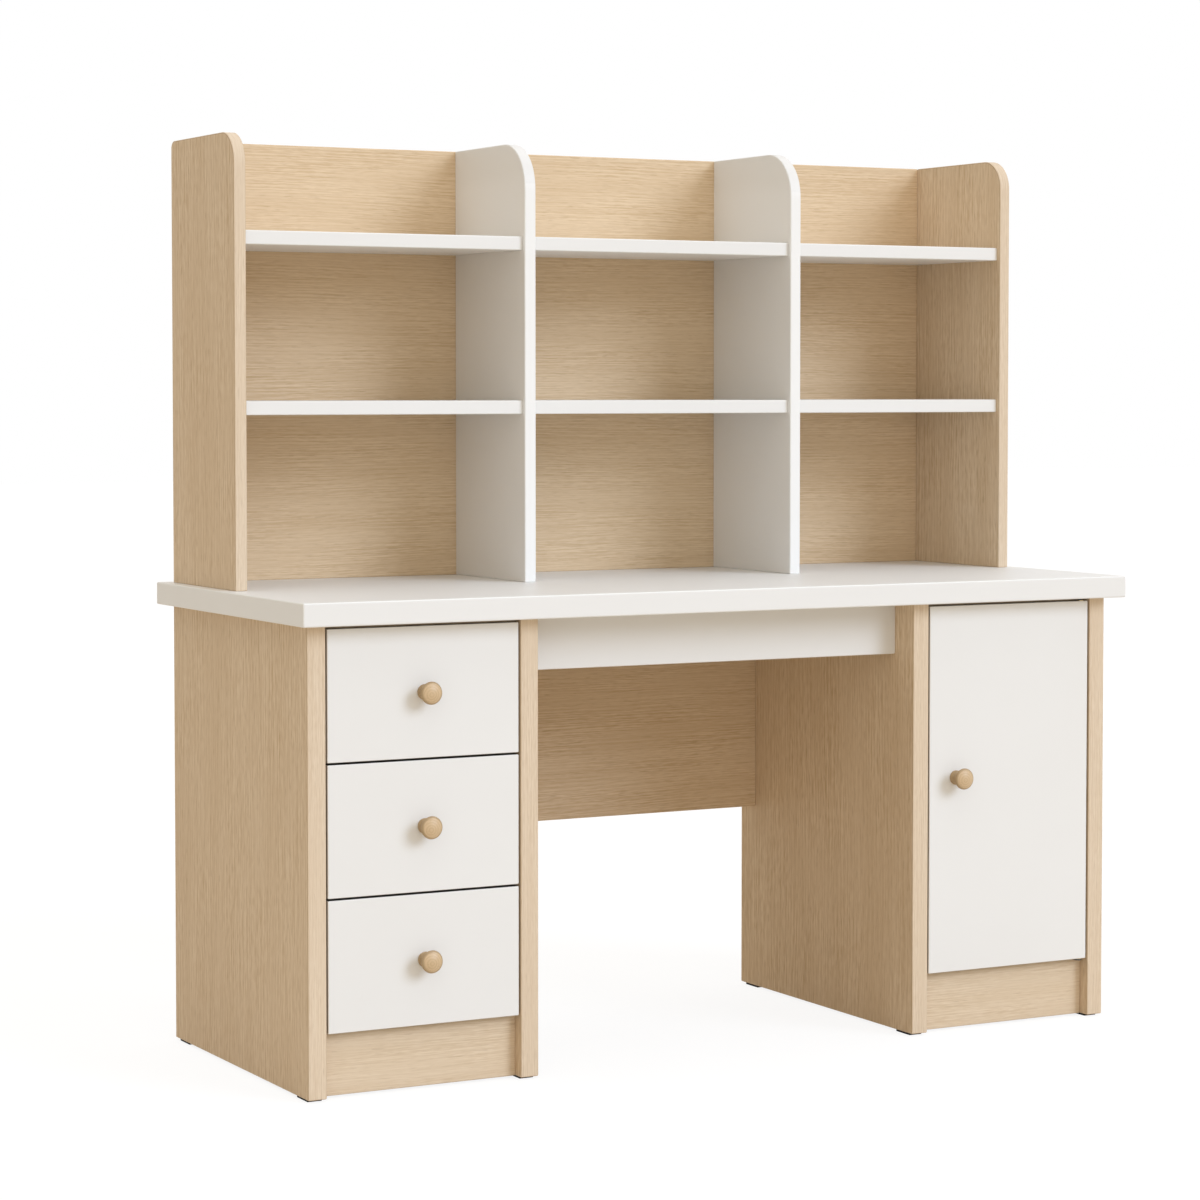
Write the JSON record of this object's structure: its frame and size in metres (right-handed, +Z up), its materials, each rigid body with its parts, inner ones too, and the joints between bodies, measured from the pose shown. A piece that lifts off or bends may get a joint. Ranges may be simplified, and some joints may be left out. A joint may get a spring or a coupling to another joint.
{
  "type": "student desk with hutch",
  "caption": "Student desk with a drawer pedestal, a cupboard pedestal and an open bookshelf hutch, in light oak and white.",
  "frame": {"origin": "on the floor, under the middle of the desktop", "axes": "+X to the user's right, +Y to the back, +Z up; the drawers and the door open towards -Y"},
  "size_m": [1.5, 0.61, 1.465],
  "materials": {
    "oak": "satin lacquered light oak board",
    "white_board": "satin white coated board",
    "carcass_board": "plain light board",
    "drawer_wood": "pale birch",
    "knob_wood": "lacquered beech",
    "steel": "zinc plated",
    "runner_steel": "cream epoxy coat",
    "roller_plastic": "nylon",
    "black_plastic": "moulded",
    "dowel_wood": "fluted beech",
    "brass": "turned"
  },
  "bodies": {
    "desk": {"base_panels": "carcass_board", "cupboard_shelf": "carcass_board", "desktop": "white_board", "foot_glides": "black_plastic", "hutch_back_panel": "oak", "hutch_left_divider": "white_board", "hutch_left_side": "oak", "hutch_lower_shelf_left": "white_board", "hutch_lower_shelf_middle": "white_board", "hutch_lower_shelf_right": "white_board", "hutch_right_divider": "white_board", "hutch_right_side": "oak", "hutch_upper_shelf_left": "white_board", "hutch_upper_shelf_middle": "white_board", "hutch_upper_shelf_right": "white_board", "joint_dowels": "dowel_wood", "knee_apron": "white_board", "left_inner_side": "oak", "left_outer_side": "oak", "magnetic_catch": "black_plastic", "modesty_panel": "oak", "pedestal_backs": "carcass_board", "pivot_leaves": "steel", "plinths": "oak", "right_inner_side": "oak", "right_outer_side": "oak", "runner_channels": "runner_steel", "shelf_pins": "steel", "top_rails": "carcass_board"},
    "bottom_drawer": {"bottom_drawer_front": "white_board", "bottom_drawer_box": "drawer_wood", "bottom_drawer_floor": "drawer_wood", "bottom_drawer_knob": "knob_wood", "bottom_drawer_screw": "steel", "bottom_drawer_runners": "runner_steel"},
    "middle_drawer": {"middle_drawer_front": "white_board", "middle_drawer_box": "drawer_wood", "middle_drawer_floor": "drawer_wood", "middle_drawer_knob": "knob_wood", "middle_drawer_screw": "steel", "middle_drawer_runners": "runner_steel"},
    "top_drawer": {"top_drawer_front": "white_board", "top_drawer_box": "drawer_wood", "top_drawer_floor": "drawer_wood", "top_drawer_knob": "knob_wood", "top_drawer_screw": "steel", "top_drawer_runners": "runner_steel"},
    "door": {"door_panel": "white_board", "door_knob": "knob_wood", "door_screw": "steel", "door_bushes": "brass", "strike_plate": "steel"},
    "bottom_front_roller_pair": {"bottom_front_rollers": "roller_plastic"},
    "bottom_rear_roller_pair": {"bottom_rear_rollers": "roller_plastic"},
    "middle_front_roller_pair": {"middle_front_rollers": "roller_plastic"},
    "middle_rear_roller_pair": {"middle_rear_rollers": "roller_plastic"},
    "top_front_roller_pair": {"top_front_rollers": "roller_plastic"},
    "top_rear_roller_pair": {"top_rear_rollers": "roller_plastic"}
  },
  "joints": [
    {"name": "bottom_drawer_slide", "type": "slide", "parent": "desk", "child": "bottom_drawer", "axis": [0, -1, 0], "range_m": [0, 0.33]},
    {"name": "middle_drawer_slide", "type": "slide", "parent": "desk", "child": "middle_drawer", "axis": [0, -1, 0], "range_m": [0, 0.33]},
    {"name": "top_drawer_slide", "type": "slide", "parent": "desk", "child": "top_drawer", "axis": [0, -1, 0], "range_m": [0, 0.33]},
    {"name": "door_hinge", "type": "hinge", "parent": "desk", "child": "door", "pos_m": [0.686, -0.263, 0.4045], "axis": [0, 0, 1], "range_deg": [0, 95]},
    {"name": "bottom_front_roller_turn", "type": "hinge", "parent": "desk", "child": "bottom_front_roller_pair", "pos_m": [-0.5375, -0.233, 0.1383], "axis": [1, 0, 0], "range_deg": [0, 2101.8]},
    {"name": "bottom_rear_roller_turn", "type": "hinge", "parent": "bottom_drawer", "child": "bottom_rear_roller_pair", "pos_m": [-0.5375, 0.178, 0.1383], "axis": [1, 0, 0], "range_deg": [0, 2101.8]},
    {"name": "middle_front_roller_turn", "type": "hinge", "parent": "desk", "child": "middle_front_roller_pair", "pos_m": [-0.5375, -0.233, 0.34163], "axis": [1, 0, 0], "range_deg": [0, 2101.8]},
    {"name": "middle_rear_roller_turn", "type": "hinge", "parent": "middle_drawer", "child": "middle_rear_roller_pair", "pos_m": [-0.5375, 0.178, 0.34163], "axis": [1, 0, 0], "range_deg": [0, 2101.8]},
    {"name": "top_front_roller_turn", "type": "hinge", "parent": "desk", "child": "top_front_roller_pair", "pos_m": [-0.5375, -0.233, 0.54497], "axis": [1, 0, 0], "range_deg": [0, 2101.8]},
    {"name": "top_rear_roller_turn", "type": "hinge", "parent": "top_drawer", "child": "top_rear_roller_pair", "pos_m": [-0.5375, 0.178, 0.54497], "axis": [1, 0, 0], "range_deg": [0, 2101.8]}
  ],
  "couplings": [
    {"joint": "bottom_front_roller_turn", "follows": "bottom_drawer_slide", "rad_per_m": 111.11},
    {"joint": "bottom_rear_roller_turn", "follows": "bottom_drawer_slide", "rad_per_m": 111.11},
    {"joint": "middle_front_roller_turn", "follows": "middle_drawer_slide", "rad_per_m": 111.11},
    {"joint": "middle_rear_roller_turn", "follows": "middle_drawer_slide", "rad_per_m": 111.11},
    {"joint": "top_front_roller_turn", "follows": "top_drawer_slide", "rad_per_m": 111.11},
    {"joint": "top_rear_roller_turn", "follows": "top_drawer_slide", "rad_per_m": 111.11}
  ]
}
